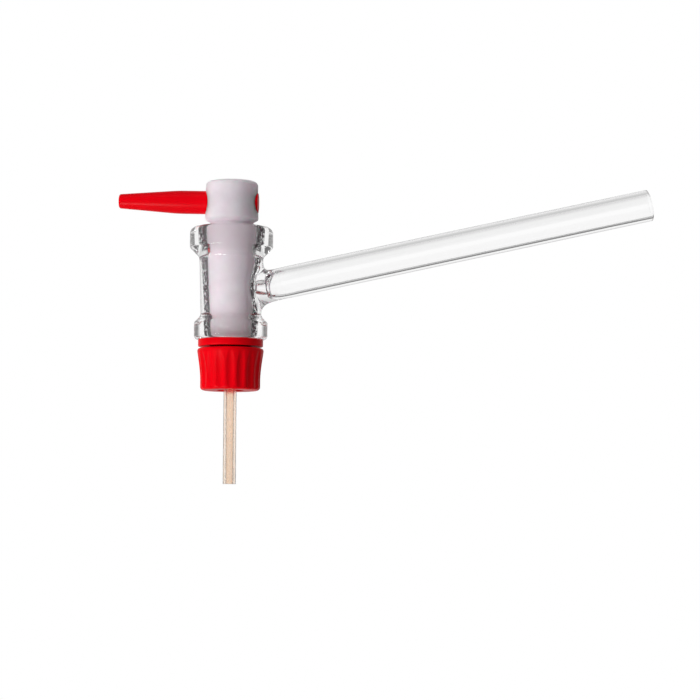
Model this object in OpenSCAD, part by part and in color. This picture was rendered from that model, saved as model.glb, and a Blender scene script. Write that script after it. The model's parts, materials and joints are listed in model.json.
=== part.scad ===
// Right-angle glass stopcock with a solid side arm, a plastic key held by a screw cap,
// and a straight dispensing tip.
// The origin is at the lower end of the dispensing tip, on the axis of the key. +Z runs up
// that axis, and the side arm leaves the barrel towards +X. All sizes are in millimetres.

/* [Glass barrel] */
// Height of the barrel, from its lower face to its mouth
barrel_h = 33.35; // [28:0.05:42]
// Diameter of the barrel wall just above the lower flange
barrel_low_d = 17.8; // [16.8:0.1:20]
// Diameter of the barrel wall just under the upper flange
barrel_high_d = 18.8; // [18.2:0.1:21]
// Diameter of the lower flange
low_flange_d = 21.6; // [20.6:0.1:26]
// Height of the straight side of the lower flange
low_flange_h = 3.8; // [2:0.1:5]
// Radius of the rounded edge under the lower flange
low_flange_round = 1; // [0.5:0.1:1.8]
// Diameter of the upper flange
high_flange_d = 24.5; // [22.6:0.1:29]
// Height of the straight side of the upper flange
high_flange_h = 4.1; // [2:0.1:5]
// Radius of the rounded edge over the upper flange
high_flange_round = 2; // [1.5:0.1:2.6]
// Height of the low dome between the upper flange's edge and the mouth
mouth_rise = 0.3; // [0.2:0.05:1.2]

/* [Ground taper] */
// Diameter of the bore at the mouth of the barrel
bore_d = 15; // [13:0.1:15.4]
// Taper of the bore: it narrows by 1 mm in this many
taper = 10; // [8:1:20]
// Gap between the key and the bore, all round
key_gap = 0.03; // [0.01:0.01:0.1]

/* [Side arm] */
// Outer diameter of the arm
arm_d = 9.4; // [7.5:0.1:10]
// Wall of the arm
arm_wall = 1.3; // [0.8:0.05:1.6]
// Distance from the key's axis to the open end, along the arm
arm_l = 127.5; // [70:0.5:170]
// Rise of the arm over the horizontal, in degrees
arm_rise = 12.7; // [0:0.1:15]
// Height of the port in the barrel wall, over the barrel's lower face
port_up = 15.5; // [15:0.1:17]
// Diameter of the port in the barrel wall
port_d = 3.2; // [1.5:0.1:4]
// Half of the height of the weld on the barrel
weld_half_h = 7.8; // [6.5:0.1:8]
// How far the weld wraps round the barrel to each side, in degrees
weld_wrap = 57; // [50:1:75]
// Distance from the key's axis to where the weld has thinned to the plain arm
weld_reach = 22; // [18:0.5:24]

/* [Key] */
// Diameter of the key's head
head_d = 15.4; // [14.5:0.1:18]
// Height of the key's head
head_h = 12.15; // [10.2:0.05:14]
// Radius of the rounded edge on top of the head
head_round = 1.3; // [0.5:0.1:1.8]
// How far the lip at the foot of the head stands out
lip_out = 0.15; // [0:0.05:0.4]
// Diameter of the neck between the head and the taper
neck_d = 12.8; // [11.5:0.1:14]
// Height of the neck that shows over the mouth of the barrel
neck_h = 1.25; // [0.5:0.05:2]
// How far the lower end of the taper stays inside the barrel
key_recess = 1.1; // [0.5:0.1:2]
// Diameter of the threaded stud under the taper
stud_d = 9.5; // [8.5:0.1:11.4]
// Diameter of the passage through the key
passage_d = 2.2; // [1.5:0.1:2.8]
// Turn of the key away from the arm, in degrees
key_turned = -6; // [-180:1:180]

/* [Handle] */
// Length of the grip, from the key's axis
grip_l = 33.5; // [28:0.5:50]
// Height of the handle's axis over the foot of the head
grip_up = 5.9; // [5.4:0.05:6.2]
// Rise of the grip towards its free end, in degrees
grip_rise = 1; // [0:0.5:3]
// Diameter of the grip at the head
grip_d = 6.85; // [6.2:0.05:7.4]
// Diameter of the grip at its free end
grip_end_d = 4.2; // [3.5:0.1:6]
// Length of the grip, from the key's axis, before it begins to narrow
grip_plain_l = 16; // [9:0.5:20]
// Diameter of the pin at its flat end, on the far side of the head
pin_end_d = 5.9; // [4.5:0.1:6.1]
// Radius of the rounded edge at the free end of the grip
grip_round = 0.6; // [0.2:0.1:1]

/* [Screw cap] */
// Height of the cap
cap_h = 12.35; // [11:0.05:16]
// Diameter of the cap at its top
cap_top_d = 19.5; // [18:0.1:24]
// Diameter of the cap at its foot
cap_foot_d = 17.6; // [16.6:0.1:20]
// Number of grip flutes
flutes = 18; // [10:1:22]
// Depth of a flute at the foot of the cap
flute_depth = 0.38; // [0.1:0.02:0.5]
// Radius of a flute's section
flute_r = 2.4; // [1.2:0.1:2.6]
// Thickness of the cap's floor
cap_floor = 2.5; // [1.5:0.1:3.2]
// Radius of the rounded edge under the cap
cap_round = 1; // [0.4:0.1:1.4]
// Diameter of the shallow recess in the underside
recess_d = 8; // [6:0.1:11]
// Depth of the shallow recess in the underside
recess_depth = 0.5; // [0.2:0.1:1]
// Diameter of the hole that the dispensing tip passes through
cap_hole_d = 4.4; // [4.2:0.1:5]

/* [Washer and ring] */
// Diameter of the slip washer
washer_d = 19.1; // [15:0.1:21]
// Thickness of the slip washer
washer_t = 2.1; // [1:0.1:3]
// Thickness of the sealing ring's section
ring_t = 2; // [1.6:0.1:2.2]
// Gap that the ring keeps open between the washer and the cap
ring_proud = 0.5; // [0.2:0.05:1]

/* [Dispensing tip] */
// Length of the tip below the cap
tip_l = 27.4; // [15:0.05:60]
// Outer diameter of the tip
tip_d = 3.8; // [3:0.05:4]
// Bore of the tip
tip_bore_d = 2; // [1:0.1:2.2]
// How much thinner the tip is where it is pressed into the key
root_step = 0.4; // [0.1:0.05:0.6]
// Length of the tip inside the key's stud
tip_seat = 8; // [5:0.5:9]

/* [Fits] */
// Gap round a piece that turns or slides on another
run_gap = 0.05; // [0.02:0.01:0.1]
// Gap round a piece that is pressed into another
press_gap = 0.01; // [0:0.005:0.02]

/* [Hidden] */
$fn = 96;
eps = 0.01;

// Heights, from the free end of the tip upwards
cap_z = tip_l;
cap_top_z = cap_z + cap_h;
washer_z = cap_top_z + ring_proud;
barrel_z = washer_z + washer_t;
mouth_z = barrel_z + barrel_h;
port_z = barrel_z + port_up;
head_z = mouth_z + neck_h;
grip_z = head_z + grip_up;

// Barrel: the wall is a slight cone between the two flanges
edge_arc = 65;
shoulder_round = 0.35;
shoulder_fillet = 0.9;
mouth_round = 0.35;
mouth_land = 2.2;
low_side_z = barrel_z + 1.2;
low_shoulder_z = low_side_z + low_flange_h;
low_wall_z = low_shoulder_z + (low_flange_d - barrel_low_d) / 2;
high_side_top_z = mouth_z - mouth_rise - high_flange_round * sin(edge_arc);
high_shoulder_z = high_side_top_z - high_flange_h;
high_wall_z = high_shoulder_z - (high_flange_d - barrel_high_d) / 2;

// Arm: its axis runs out through the middle of the port in the barrel's wall
arm_r = arm_d / 2;
lumen_r = arm_r - arm_wall;
arm_melt = arm_wall * 0.3;
arm_axis_z = port_z - wall_r(port_z) * tan(arm_rise);
funnel_from = barrel_low_d / 2 + 1;
funnel_to = weld_reach - 3;

// Key
key_foot_z = barrel_z + key_recess;
key_foot_bevel = 0.4;
key_top_z = mouth_z - 0.6;
key_top_bevel = 0.25;
lip_h = 1.4;
foot_chamfer = 0.9;
lip_round = 0.2;
stud_z = cap_z + cap_floor + 0.7;
stud_relief = 0.5;
pin_proud = 0.15;
pin_bevel = 0.15;

// Tip: its thinner root begins at the cap
root_z = cap_z - run_gap;
root_d = tip_d - root_step;

// Cap and sealing ring
ring_r = ring_t / 2;
ring_mid_r = stud_d / 2 + run_gap + ring_r;
ring_z = washer_z - ring_r;
thread_gap = run_gap + 0.03;
cap_top_round = 0.9;
flare_from_z = cap_z + 3;
flare_bend = 2.6;
flute_top_z = cap_top_z - 0.8;
washer_round = 0.25;

// Radius of the ground bore at a height
function bore_r(z) = bore_d / 2 - (mouth_z - z) / (2 * taper);

// Radius of the barrel's outer wall at a height
function wall_r(z) = barrel_low_d / 2
    + (barrel_high_d - barrel_low_d) / 2 * (z - low_wall_z) / (high_wall_z - low_wall_z);

// Points on an arc round (x, y), from angle a to angle b, both ends included
function arc(x, y, r, a, b, steps = 6) =
    [for (i = [0:steps]) let (t = a + (b - a) * i / steps) [x + r * cos(t), y + r * sin(t)]];

// A point on a cubic curve with two end points and two handles
function cubic(p, t) = pow(1 - t, 3) * p[0] + 3 * pow(1 - t, 2) * t * p[1]
    + 3 * (1 - t) * t * t * p[2] + pow(t, 3) * p[3];

// A quadratic curve round a corner at q, from p to s, with the ends left out
function soft(p, q, s, steps = 5) =
    [for (i = [1:steps - 1]) let (t = i / steps) (1 - t) * (1 - t) * p + 2 * t * (1 - t) * q + t * t * s];

// A corner at q between p and s, cut back by d along each side and rounded
function corner(p, q, s, d) = let (
        a = q + d * (p - q) / norm(p - q),
        b = q + d * (s - q) / norm(s - q)
    ) concat([a], soft(a, q, b), [b]);

// ---- Glass barrel with its fused side arm ----

// Half section of the barrel's outside
function barrel_outline() = let (
        low_r = low_flange_d / 2,
        high_r = high_flange_d / 2,
        low_top = [low_r, low_shoulder_z],
        low_wall = [barrel_low_d / 2, low_wall_z],
        high_wall = [barrel_high_d / 2, high_wall_z],
        high_low = [high_r, high_shoulder_z],
        edge = [high_r - high_flange_round, high_side_top_z],
        mouth = [bore_d / 2 + mouth_round, mouth_z]
    ) concat(
        [[0, barrel_z]],
        [for (p = arc(0, 0, 1, -90, 0))
            [low_r - low_flange_round * (1 - p[0]), low_side_z + (low_side_z - barrel_z) * p[1]]],
        corner([low_r, low_side_z], low_top, low_wall, shoulder_round),
        corner(low_top, low_wall, high_wall, shoulder_fillet),
        corner(low_wall, high_wall, high_low, shoulder_fillet),
        corner(high_wall, high_low, [high_r, high_side_top_z], shoulder_round),
        arc(edge[0], edge[1], high_flange_round, 0, edge_arc),
        soft([edge[0] + high_flange_round * cos(edge_arc), mouth_z - mouth_rise],
            [bore_d / 2 + mouth_land, mouth_z], mouth),
        [mouth, [0, mouth_z]]
    );

// Places a child that is drawn along +Z on the arm's axis
module on_arm() {
    translate([0, 0, arm_axis_z]) rotate([0, 90 - arm_rise, 0]) children();
}

// The weld's skin: a smooth trumpet from a wide foot on the barrel to the plain arm
weld_sides = 40;
weld_rings = 10;
along = [cos(arm_rise), 0, sin(arm_rise)];
upright = [-sin(arm_rise), 0, cos(arm_rise)];
weld_sink = 0.25;
weld_lift = 0.03;
weld_foot_handle = 3.2;
weld_arm_handle = weld_reach / 2;

function weld_curve(a) = let (
        wrap = weld_wrap * sin(a),
        z = port_z + weld_half_h * cos(a),
        r = wall_r(z) - weld_sink,
        foot = [r * cos(wrap), r * sin(wrap), z],
        inward = -cos(a) * [0, 0, 1] - sin(a) * [-sin(wrap), cos(wrap), 0],
        outward = 0.2 * [cos(wrap), sin(wrap), 0],
        end = [0, 0, arm_axis_z] + weld_reach * along
            + (arm_r + weld_lift) * (cos(a) * upright + sin(a) * [0, 1, 0])
    ) [foot, foot + weld_foot_handle * (inward + outward), end - weld_arm_handle * along, end];

module weld() {
    ring = [for (i = [0:weld_sides - 1]) weld_curve(360 * i / weld_sides)];
    skin = [for (j = [0:weld_rings]) for (curve = ring) cubic(curve, j / weld_rings)];
    foot_middle = [bore_r(port_z) / 3, 0, port_z];
    end_middle = [0, 0, arm_axis_z] + weld_reach * along;
    n = weld_sides;
    last = n * weld_rings;
    middle = n * (weld_rings + 1);
    polyhedron(
        concat(skin, [foot_middle, end_middle]),
        concat(
            [for (j = [0:weld_rings - 1]) for (i = [0:n - 1]) let (k = (i + 1) % n)
                [j * n + i, (j + 1) * n + k, (j + 1) * n + i]],
            [for (j = [0:weld_rings - 1]) for (i = [0:n - 1]) let (k = (i + 1) % n)
                [j * n + i, j * n + k, (j + 1) * n + k]],
            [for (i = [0:n - 1]) [middle, (i + 1) % n, i]],
            [for (i = [0:n - 1]) [middle + 1, last + i, last + (i + 1) % n]]
        )
    );
}

// The arm's open end is melted round, inside and out
module arm_outside() {
    on_arm() rotate_extrude() polygon(concat(
        [[0, weld_reach - 0.1], [arm_r, weld_reach - 0.1]],
        arc(arm_r - arm_melt, arm_l - arm_melt, arm_melt, 0, 90, 4),
        [[0, arm_l]]
    ));
}

// The lumen narrows to the port in a rounded funnel
module arm_inside() {
    port_r = port_d / 2;
    on_arm() rotate_extrude() polygon(concat(
        [[0, funnel_from]],
        [for (t = [0:90 / 8:90])
            [port_r + (lumen_r - port_r) * sin(t), funnel_to - (funnel_to - funnel_from) * cos(t)]],
        arc(lumen_r + arm_melt, arm_l - arm_melt, arm_melt, 180, 90, 4),
        [[lumen_r + arm_melt, arm_l + 1], [0, arm_l + 1]]
    ));
}

module glass_barrel() {
    color("aliceblue", 0.5) difference() {
        union() {
            rotate_extrude() polygon(barrel_outline());
            weld();
            arm_outside();
        }
        translate([0, 0, barrel_z - 1])
            cylinder(h = barrel_h + 2, r1 = bore_r(barrel_z - 1), r2 = bore_r(mouth_z + 1));
        translate([0, 0, mouth_z - mouth_round])
            cylinder(h = 2 * mouth_round, r1 = bore_r(mouth_z - mouth_round),
                r2 = bore_r(mouth_z) + 2 * mouth_round);
        arm_inside();
        translate([0, 0, port_z]) rotate([0, 90, 0]) cylinder(h = funnel_from + 1.2, d = port_d);
    }
}

// ---- Key ----

function key_r(z) = bore_r(z) - key_gap;

function key_outline() = let (
        head_r = head_d / 2,
        lip_r = head_r + lip_out,
        lip_top_z = head_z + foot_chamfer + lip_h,
        foot_r = key_r(key_foot_z),
        top_r = key_r(key_top_z),
        top_z = head_z + head_h
    ) concat(
        [[0, stud_z], [stud_d / 2 - stud_relief, stud_z], [stud_d / 2, stud_z + stud_relief]],
        [[stud_d / 2, key_foot_z - key_foot_bevel]],
        [[foot_r - key_foot_bevel, key_foot_z - key_foot_bevel], [foot_r, key_foot_z]],
        [[top_r, key_top_z], [top_r - key_top_bevel, key_top_z + key_top_bevel]],
        [[neck_d / 2, key_top_z + 0.35], [neck_d / 2, head_z]],
        corner([neck_d / 2, head_z], [lip_r, head_z + foot_chamfer], [lip_r, lip_top_z], lip_round),
        [[lip_r, lip_top_z], [head_r, lip_top_z + lip_h]],
        arc(head_r - head_round, top_z - head_round, head_round, 0, 90),
        [[0, top_z]]
    );

// Places a child that is drawn along +Z on the handle's axis, the grip's way
module on_handle() {
    translate([0, 0, grip_z]) rotate([0, grip_rise - 90, key_turned]) children();
}

function pin_r(x) = pin_end_d / 2 + (grip_d - pin_end_d) / 2 * (x + head_d / 2) / head_d;

module key() {
    far = head_d / 2 + 1;
    color("whitesmoke") difference() {
        rotate_extrude() polygon(key_outline());
        on_handle() translate([0, 0, -far])
            cylinder(h = 2 * far, r1 = pin_r(-far) + press_gap, r2 = pin_r(far) + press_gap);
        translate([0, 0, stud_z - eps]) cylinder(h = tip_seat + eps, d = root_d + 2 * press_gap);
        translate([0, 0, stud_z]) cylinder(h = port_z - stud_z, d = passage_d);
        rotate([0, 90, key_turned]) translate([-port_z, 0, 0])
            cylinder(h = bore_d, d = passage_d);
    }
}

// ---- Handle ----

module handle() {
    reach = head_d / 2;
    flat = -reach - pin_proud;
    end_r = grip_end_d / 2;
    color("red") on_handle() rotate_extrude() polygon(concat(
        [[0, flat], [pin_r(flat) - pin_bevel, flat], [pin_r(flat + pin_bevel), flat + pin_bevel]],
        [[grip_d / 2, reach], [grip_d / 2, grip_plain_l - 1]],
        soft([grip_d / 2, grip_plain_l - 1], [grip_d / 2, grip_plain_l],
            [grip_d / 2 - 0.1, grip_plain_l + 1.6]),
        arc(end_r - grip_round, grip_l - grip_round, grip_round, 5, 90),
        [[0, grip_l]]
    ));
}

// ---- Sealing pieces and cap ----

module slip_washer() {
    hole_r = stud_d / 2 + run_gap;
    edge_r = washer_d / 2 - washer_round;
    color("red") rotate_extrude() polygon(concat(
        [[hole_r, washer_z], [edge_r, washer_z]],
        arc(edge_r, washer_z + washer_round, washer_round, -90, 0, 4),
        arc(edge_r, washer_z + washer_t - washer_round, washer_round, 0, 90, 4),
        [[hole_r, washer_z + washer_t]]
    ));
}

module o_ring() {
    color("firebrick") translate([0, 0, ring_z]) rotate_extrude() translate([ring_mid_r, 0])
        circle(r = ring_r);
}

function cap_outline() = let (
        top_r = cap_top_d / 2,
        foot_r = cap_foot_d / 2,
        foot = [foot_r, flare_from_z],
        bend = [foot_r, flare_from_z + flare_bend],
        edge = [top_r, cap_top_z - cap_top_round],
        rim = [top_r - cap_top_round, cap_top_z]
    ) concat(
        [[0, cap_z]],
        arc(foot_r - cap_round, cap_z + cap_round, cap_round, -90, 0),
        [foot],
        soft(foot, bend, edge, 8),
        [edge],
        soft(edge, [top_r, cap_top_z], rim),
        [rim, [0, cap_top_z]]
    );

// One flute is a shallow round groove on a long arc, which runs out near the top of the cap
module flute() {
    rise = flute_top_z - flare_from_z;
    deep = cap_foot_d / 2 - flute_depth;
    out = cap_top_d / 2 - deep;
    bow = (rise * rise + out * out) / (2 * out);
    up = asin(rise / bow) + 4;
    down = asin((flare_from_z - cap_z) / bow) + 2;
    inner = 1.3;
    outer = 0.7;
    translate([deep + bow, 0, flare_from_z]) rotate([90, 0, 180])
        rotate_extrude(angle = up + down, start = -down) intersection() {
            translate([bow - flute_r, 0]) circle(r = flute_r);
            translate([bow - inner, -1.35]) square([inner + outer, 2.7]);
        }
}

module screw_cap() {
    color("red") difference() {
        rotate_extrude() polygon(cap_outline());
        for (i = [0:flutes - 1]) rotate([0, 0, 360 * (i + 0.5) / flutes]) flute();
        translate([0, 0, cap_z + cap_floor])
            cylinder(h = cap_h, d = stud_d + 2 * thread_gap);
        translate([0, 0, ring_z - ring_r]) cylinder(h = cap_h, r = ring_mid_r + ring_r + run_gap);
        translate([0, 0, cap_z - 1]) cylinder(h = cap_h, d = cap_hole_d);
        translate([0, 0, cap_z - 1]) cylinder(h = 1 + recess_depth, d = recess_d);
    }
}

// ---- Dispensing tip ----

// Its root, from the cap upwards, is thinner and is pressed into the key
module dispensing_tip() {
    top_z = stud_z + tip_seat;
    color("linen") difference() {
        rotate_extrude() polygon([
            [0, 0], [tip_d / 2, 0], [tip_d / 2, root_z], [root_d / 2, root_z],
            [root_d / 2, top_z], [0, top_z]
        ]);
        translate([0, 0, -1]) cylinder(h = top_z + 2, d = tip_bore_d);
    }
}

glass_barrel();
key();
handle();
slip_washer();
o_ring();
screw_cap();
dispensing_tip();
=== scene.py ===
import json
import math

import bmesh
import bpy
from mathutils import Matrix, Vector


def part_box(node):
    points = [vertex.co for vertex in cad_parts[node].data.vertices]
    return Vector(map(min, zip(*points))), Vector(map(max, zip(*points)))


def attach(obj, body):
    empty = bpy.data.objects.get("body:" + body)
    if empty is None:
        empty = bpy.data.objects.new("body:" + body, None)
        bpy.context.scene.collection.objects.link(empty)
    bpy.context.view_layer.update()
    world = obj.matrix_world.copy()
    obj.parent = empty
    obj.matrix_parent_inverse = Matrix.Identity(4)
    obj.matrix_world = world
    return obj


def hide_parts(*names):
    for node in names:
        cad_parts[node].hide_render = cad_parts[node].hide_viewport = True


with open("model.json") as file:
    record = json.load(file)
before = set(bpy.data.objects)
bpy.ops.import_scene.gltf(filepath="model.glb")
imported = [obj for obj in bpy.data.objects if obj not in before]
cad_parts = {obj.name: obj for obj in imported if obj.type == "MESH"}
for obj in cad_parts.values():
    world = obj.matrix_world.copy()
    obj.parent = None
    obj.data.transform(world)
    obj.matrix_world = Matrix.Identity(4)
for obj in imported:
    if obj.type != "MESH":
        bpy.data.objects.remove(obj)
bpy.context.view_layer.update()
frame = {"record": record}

mm = 0.001
seamGap = 0.002 * mm  # corners nearer than this are one corner
print("frame loaded")


def low(node, axis=2):
    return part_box(node)[0][axis] / mm


def high(node, axis=2):
    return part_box(node)[1][axis] / mm


# Levels and radii in mm that the pieces share, all taken from the frame
capZ, capTopZ, capTopR = low("screw_cap"), high("screw_cap"), high("screw_cap", 1)
washerZ, barrelZ = low("slip_washer"), high("slip_washer")
studZ, headTopZ = low("key"), high("key")
ringOutR = high("o_ring", 1)
armMount = next(m for m in frame["record"]["mounts"] if m["name"] == "side_arm")
armAxis = Vector(armMount["axis"])
armStart = Vector(armMount["pos_m"]) - armAxis * (armMount["pos_m"][0] / armAxis.x)


# Making meshes

def deselectAll():
    if bpy.context.object and bpy.context.object.mode != "OBJECT":
        bpy.ops.object.mode_set(mode="OBJECT")
    bpy.ops.object.select_all(action="DESELECT")


def pickOnly(obj):
    deselectAll()
    obj.select_set(True)
    bpy.context.view_layer.objects.active = obj


def startPiece(name):
    obj = bpy.context.object
    obj.name = obj.data.name = name
    return obj


def drawSection(points, z=0):
    # turns the new plane into a half section, point by point, in mm from the axis and up it
    bpy.ops.object.mode_set(mode="EDIT")
    bpy.ops.mesh.select_mode(type="VERT")
    bpy.ops.mesh.select_all(action="SELECT")
    bpy.ops.mesh.merge(type="CENTER")
    bpy.ops.transform.translate(value=(points[0][0] * mm, 0, (z + points[0][1]) * mm))
    for (r0, z0), (r1, z1) in zip(points, points[1:]):
        step = ((r1 - r0) * mm, 0, (z1 - z0) * mm)
        bpy.ops.mesh.extrude_region_move(TRANSFORM_OT_translate={"value": step})
    bpy.ops.mesh.select_all(action="SELECT")


def closeSeams():
    bpy.ops.mesh.select_all(action="SELECT")
    bpy.ops.mesh.remove_doubles(threshold=seamGap)
    bpy.ops.mesh.normals_make_consistent(inside=False)


def latheBody(name, points, steps):
    deselectAll()
    bpy.ops.mesh.primitive_plane_add(size=mm)
    obj = startPiece(name)
    drawSection(points)
    bpy.ops.mesh.spin(steps=steps, angle=math.tau, center=(0, 0, 0), axis=(0, 0, 1))
    closeSeams()
    return obj


def pickRing(obj, r, z, near=0.02):
    # selects the ring of edges at radius r and height z
    bpy.ops.mesh.select_mode(type="EDGE")
    bpy.ops.mesh.select_all(action="DESELECT")
    mesh = bmesh.from_edit_mesh(obj.data)
    for edge in mesh.edges:
        edge.select = all(
            abs(math.hypot(v.co.x, v.co.y) / mm - r) < near and abs(v.co.z / mm - z) < near
            for v in edge.verts)
    mesh.select_flush_mode()
    bmesh.update_edit_mesh(obj.data)


def roundRing(obj, r, z, width, segments):
    pickRing(obj, r, z)
    bpy.ops.mesh.bevel(offset=width * mm, segments=segments, affect="EDGES", clamp_overlap=False)


def coneAlong(start, end, r1, r2):
    # a cone or a rod between two points, in mm
    deselectAll()
    start, end = Vector(start), Vector(end)
    way = end - start
    bpy.ops.mesh.primitive_cone_add(
        vertices=64, radius1=r1 * mm, radius2=r2 * mm, depth=way.length * mm,
        location=(start + end) / 2 * mm, rotation=way.to_track_quat("Z", "Y").to_euler())
    return bpy.context.object


def cutAway(obj, cutter):
    # cuts the cutter's shape out of obj
    pickOnly(obj)
    bpy.ops.object.modifier_add(type="BOOLEAN")
    cut = obj.modifiers[-1]
    cut.object, cut.operation, cut.solver = cutter, "DIFFERENCE", "EXACT"
    bpy.ops.object.modifier_apply(modifier=cut.name)
    bpy.data.objects.remove(cutter)
    # corners of the cutter that fall almost on edges of obj would leave slivers
    bpy.ops.object.mode_set(mode="EDIT")
    closeSeams()
    bpy.ops.mesh.dissolve_degenerate(threshold=seamGap)
    bpy.ops.object.mode_set(mode="OBJECT")


def finishPiece(obj, body, nodes, angle, material=None):
    # edges flatter than the angle are shaded smooth
    pickOnly(obj)
    bpy.ops.object.transform_apply(location=True, rotation=True, scale=True)
    bpy.ops.object.shade_smooth_by_angle(angle=math.radians(angle))
    if material:
        obj.data.materials.clear()
        obj.data.materials.append(material)
    if nodes:
        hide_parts(*nodes)
    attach(obj, body)
    print("made", obj.name, len(obj.data.polygons), "faces")


# Profiles: lists of points in mm, as distance from the axis and height

def spacedLine(a, b, steps):
    return [(a[0] + (b[0] - a[0]) * i / steps, a[1] + (b[1] - a[1]) * i / steps) for i in range(steps + 1)]


def arcPoints(x, y, r, start, end, steps, ry=None):
    turns = [math.radians(start + (end - start) * i / steps) for i in range(steps + 1)]
    return [(x + r * math.cos(t), y + (r if ry is None else ry) * math.sin(t)) for t in turns]


def bowedLine(a, knee, b, steps):
    # a curve from a to b that leans towards the knee
    a, knee, b = Vector(a), Vector(knee), Vector(b)
    return [tuple((1 - t) ** 2 * a + 2 * t * (1 - t) * knee + t * t * b)
            for t in (i / steps for i in range(steps + 1))]


def softCorner(p, q, s, back):
    # rounds the corner at q between p and s
    p, q, s = Vector(p), Vector(q), Vector(s)
    return bowedLine(q + (p - q).normalized() * back, q, q + (s - q).normalized() * back, 6)


# Materials

def linear(hexColor):
    # sRGB hex to a linear colour
    parts = [int(hexColor[i:i + 2], 16) / 255 for i in (1, 3, 5)]
    return [*(c / 12.92 if c <= 0.04045 else ((c + 0.055) / 1.055) ** 2.4 for c in parts), 1]


def addNode(tree, kind, values={}, links={}, **settings):
    node = tree.nodes.new(kind)
    for name, value in settings.items():
        setattr(node, name, value)
    for socket, value in values.items():
        node.inputs[socket].default_value = value
    for socket, (source, out) in links.items():
        tree.links.new(source.outputs[out], node.inputs[socket])
    return node


def newMaterial(name):
    material = bpy.data.materials.new(name)
    material.use_nodes = True
    material.node_tree.nodes.clear()
    return material, material.node_tree


def setRamp(node, stops):
    elements = node.color_ramp.elements
    for i, (place, color) in enumerate(stops):
        stop = elements[i] if i < 2 else elements.new(place)
        stop.position, stop.color = place, color


glassLook = {  # patch and the blends in mm, aslant and the limits from 0 straight on to 1 edge on
    "color": "#FFFFFF", "ior": 1.473, "thinPass": "#FFFFFF", "thickPass": "#E2DFDF", "passBlend": 1.5,
    # the dark grey of the seat's speckled band is painted shade, standing in for the dim key seen through the
    # grinding
    "mostTurns": 3.5, "seatShadeColor": "#2E2B2C", "groundRough": 0.2, "contactIor": 1.09, "patch": 0.55,
    "clearBelow": 0.385, "aslant": (0.25, 0.31), "wallLimit": 0.47, "flangeLimit": 0.55, "limitSoft": 0.025,
    "limitBlend": (1.2, 0.4), "slopeUp": 0.1, "slopeBlend": 0.3}


def heightFrom(tree, level):
    # distance up or down from a level in mm
    place = addNode(tree, "ShaderNodeTexCoord")
    height = addNode(tree, "ShaderNodeSeparateXYZ", {}, {0: (place, "Object")})
    above = addNode(tree, "ShaderNodeMath", {1: level * mm}, {0: (height, "Z")}, operation="SUBTRACT")
    return addNode(tree, "ShaderNodeMath", {}, {0: (above, 0)}, operation="ABSOLUTE")


def lightPath(tree, glass):
    # light passes the glass on a straight way, less of it through the thick flanges, and a ray that is
    # caught inside goes out after a few turns and doesn't end black
    look = glassLook
    fromMiddle = heightFrom(tree, wallMiddleZ)
    flange = addNode(tree, "ShaderNodeMapRange", {
        "From Min": (wallHalf - look["passBlend"]) * mm, "From Max": wallHalf * mm}, {"Value": (fromMiddle, 0)})
    passed = addNode(tree, "ShaderNodeMix", {
        6: linear(look["thinPass"]), 7: linear(look["thickPass"])}, {0: (flange, 0)}, data_type="RGBA")
    clear = addNode(tree, "ShaderNodeBsdfTransparent", {}, {"Color": (passed, 2)})
    ray = addNode(tree, "ShaderNodeLightPath")
    caught = addNode(tree, "ShaderNodeMath", {1: look["mostTurns"]}, {0: (ray, "Glossy Depth")},
        operation="GREATER_THAN")
    straight = addNode(tree, "ShaderNodeMath", {}, {0: (ray, "Is Shadow Ray"), 1: (caught, 0)},
        operation="MAXIMUM")
    mix = addNode(tree, "ShaderNodeMixShader", {}, {0: (straight, 0), 1: (glass, 0), 2: (clear, 0)})
    addNode(tree, "ShaderNodeOutputMaterial", {}, {"Surface": (mix, 0)})


def flameWorkedGlass():
    # Flame-worked borosilicate: clear, with the fire-polished gloss that bends what lies behind it
    look = glassLook
    material, tree = newMaterial("flameWorkedBorosilicate")
    glass = addNode(tree, "ShaderNodeBsdfPrincipled", {
        "Base Color": linear(look["color"]), "Roughness": 0.0, "IOR": look["ior"], "Transmission Weight": 1.0})
    lightPath(tree, glass)
    return material


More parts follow.
